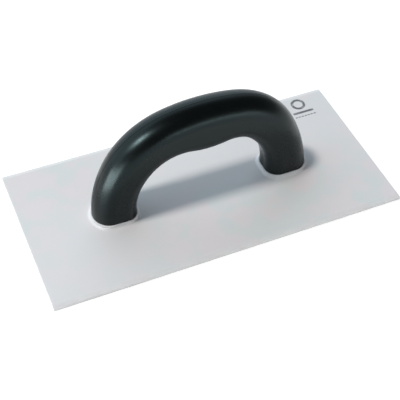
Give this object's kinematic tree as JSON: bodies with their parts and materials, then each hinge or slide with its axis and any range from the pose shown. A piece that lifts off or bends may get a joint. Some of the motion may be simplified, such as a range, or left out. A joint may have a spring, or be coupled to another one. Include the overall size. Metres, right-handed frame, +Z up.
{
  "type": "plastic finishing trowel",
  "caption": "Flat rectangular smoothing trowel with a rigid plastic blade and a hollow bow grip screwed on from below.",
  "frame": {"origin": "centre of the working face, which is the blade's flat underside", "axes": "+X along the blade towards the steep front end of the grip, +Y to the user's left, +Z up out of the blade's back towards the grip"},
  "size_m": [0.27, 0.13, 0.0901],
  "materials": {
    "blade_plastic": "pale grey rigid plastic, satin, lightly scuffed",
    "grip_plastic": "black moulded plastic, semi-gloss",
    "zinc_steel": "bright zinc-plated steel",
    "plug_plastic": "pale grey rigid plastic, a shade darker than the blade"
  },
  "bodies": {
    "root": {"trowel_blade": "blade_plastic", "grip_shell_right": "grip_plastic", "grip_shell_left": "grip_plastic", "rear_blade_screw": "zinc_steel", "front_blade_screw": "zinc_steel", "rear_captive_nut": "zinc_steel", "front_captive_nut": "zinc_steel", "rear_nut_washer": "zinc_steel", "front_nut_washer": "zinc_steel", "rear_screw_plug": "plug_plastic", "front_screw_plug": "plug_plastic"}
  },
  "joints": []
}
